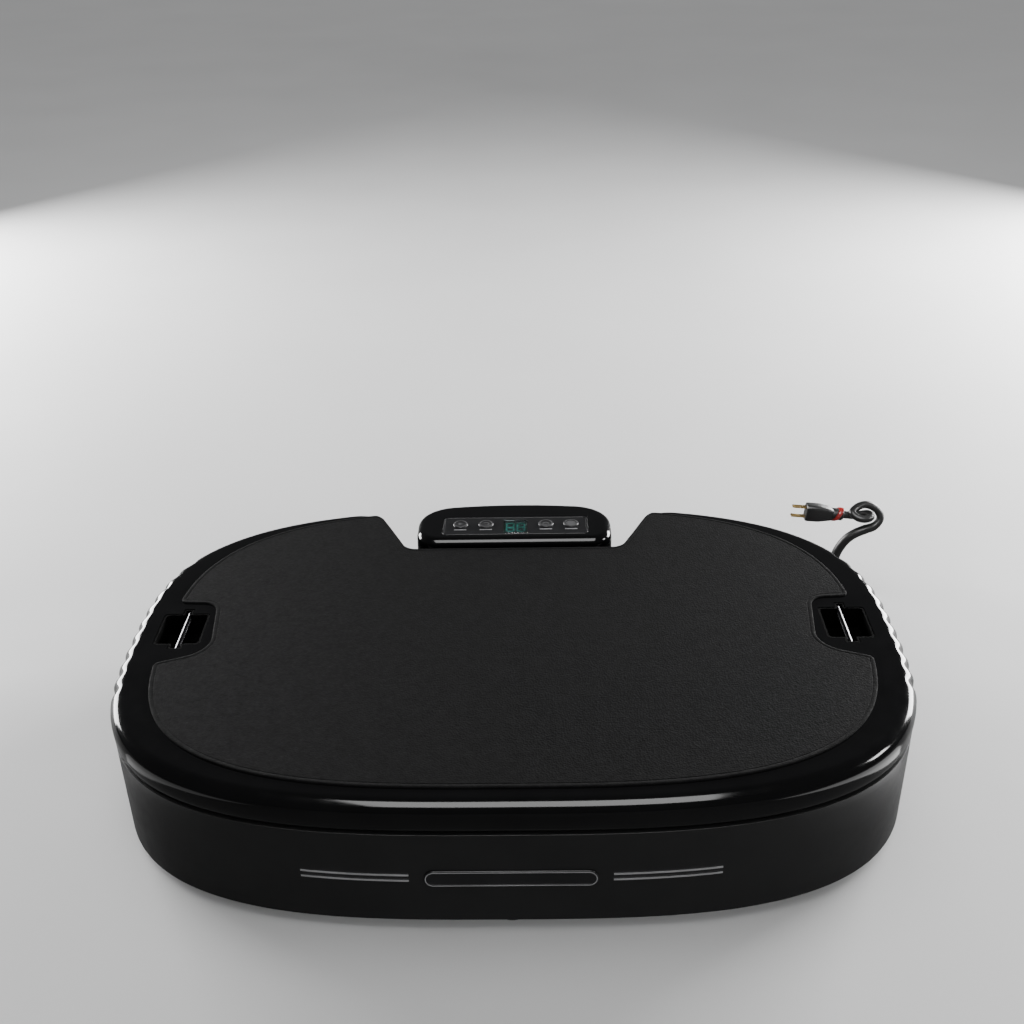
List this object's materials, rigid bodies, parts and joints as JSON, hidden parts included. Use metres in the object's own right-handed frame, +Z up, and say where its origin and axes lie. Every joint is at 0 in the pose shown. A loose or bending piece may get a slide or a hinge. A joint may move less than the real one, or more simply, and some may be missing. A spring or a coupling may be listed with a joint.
{
  "type": "vibration plate",
  "caption": "Low rounded vibration platform on rubber isolators, with twin eccentric motors, a rear button console, side strap bars and a mains lead.",
  "frame": {"origin": "on the floor under the middle of the platform, at the underside of the centre foot", "axes": "+X to the user's right, +Y towards the console at the rear, +Z up"},
  "size_m": [0.8397, 0.6227, 0.147],
  "materials": {
    "satin_black": "satin moulded",
    "gloss_black": "high gloss",
    "black_steel": "black powder coat",
    "foot_rubber": "matte",
    "isolator_rubber": "matte",
    "zinc_steel": "zinc plated",
    "panel_film": "semi-gloss film",
    "display_glass": "smoked",
    "component_black": "moulded",
    "display_teal": "lit segments",
    "board_green": "solder mask",
    "silver_print": "satin silver",
    "button_grey": "semi-gloss",
    "red_plastic": "gloss",
    "cord_black": "soft PVC",
    "brass_pin": "bright",
    "bare_aluminium": "cast",
    "lead_red": "soft PVC",
    "mat_rubber": "fine grained",
    "chrome_bar": "polished",
    "motor_paint": "satin",
    "magnet_iron": "sintered",
    "winding_copper": "enamelled copper on laminations",
    "weight_iron": "machined"
  },
  "bodies": {
    "base": {"base_skirt": "satin_black", "base_plate": "black_steel", "rubber_feet": "foot_rubber", "foot_studs": "zinc_steel", "isolator_posts": "black_steel", "rubber_isolators": "isolator_rubber", "console_column": "satin_black", "console_housing": "gloss_black", "console_faceplate": "panel_film", "display_window": "display_glass", "display_module": "component_black", "display_digits": "display_teal", "console_board": "board_green", "tact_switches": "component_black", "panel_marks": "silver_print", "console_screws": "zinc_steel", "inlet_panel": "satin_black", "power_inlet": "component_black", "cord_connector": "cord_black", "power_cord": "cord_black", "cord_tie": "red_plastic", "power_plug": "cord_black", "plug_pins": "brass_pin", "mains_leads": "cord_black", "drive_board": "board_green", "drive_components": "component_black", "drive_heatsink": "bare_aluminium", "motor_leads": "lead_red", "console_cable": "cord_black", "skirt_screws": "zinc_steel", "front_badge": "silver_print", "front_pinstripes": "silver_print"},
    "deck": {"deck_cover": "gloss_black", "deck_plate": "black_steel", "deck_frame": "black_steel", "deck_mat": "mat_rubber", "strap_pocket_left": "satin_black", "strap_pocket_right": "satin_black", "strap_bar_left": "chrome_bar", "strap_bar_right": "chrome_bar", "deck_screws": "zinc_steel", "motor_brackets": "black_steel", "bracket_bolts": "zinc_steel", "motor_housings": "motor_paint", "motor_end_caps": "bare_aluminium", "motor_bearings": "zinc_steel", "stator_magnets": "magnet_iron"},
    "rotor_left": {"rotor_shaft_left": "zinc_steel", "rotor_core_left": "winding_copper", "eccentric_weights_left": "weight_iron"},
    "rotor_right": {"rotor_shaft_right": "zinc_steel", "rotor_core_right": "winding_copper", "eccentric_weights_right": "weight_iron"},
    "play_button": {"play_button": "button_grey"},
    "stop_button": {"stop_button": "button_grey"},
    "time_button": {"time_button": "button_grey"},
    "level_button": {"level_button": "button_grey"},
    "power_switch": {"power_switch": "red_plastic"}
  },
  "joints": [
    {"name": "deck_float", "type": "slide", "parent": "base", "child": "deck", "axis": [0, 0, 1], "range_m": [-0.0015, 0.0015], "stiffness_N_per_m": 360000, "springref_m": 0.0005, "deforming": ["rubber_isolators", "motor_leads"]},
    {"name": "rotor_right_spin", "type": "hinge", "parent": "deck", "child": "rotor_right", "pos_m": [0.075, 0, 0.066], "axis": [0, 1, 0], "continuous": true},
    {"name": "rotor_left_spin", "type": "hinge", "parent": "deck", "child": "rotor_left", "pos_m": [-0.075, 0, 0.066], "axis": [0, 1, 0], "continuous": true},
    {"name": "play_press", "type": "slide", "parent": "base", "child": "play_button", "axis": [0, 0, -1], "range_m": [0, 0.0012], "stiffness_N_per_m": 800, "springref_m": -0.001},
    {"name": "stop_press", "type": "slide", "parent": "base", "child": "stop_button", "axis": [0, 0, -1], "range_m": [0, 0.0012], "stiffness_N_per_m": 800, "springref_m": -0.001},
    {"name": "time_press", "type": "slide", "parent": "base", "child": "time_button", "axis": [0, 0, -1], "range_m": [0, 0.0012], "stiffness_N_per_m": 800, "springref_m": -0.001},
    {"name": "level_press", "type": "slide", "parent": "base", "child": "level_button", "axis": [0, 0, -1], "range_m": [0, 0.0012], "stiffness_N_per_m": 800, "springref_m": -0.001},
    {"name": "power_rock", "type": "hinge", "parent": "base", "child": "power_switch", "pos_m": [0.30982, 0.1955, 0.046], "axis": [0.8248, -0.5654, 0], "range_deg": [-16, 0]}
  ],
  "couplings": [
    {"joint": "rotor_left_spin", "follows": "rotor_right_spin", "ratio": -1}
  ]
}
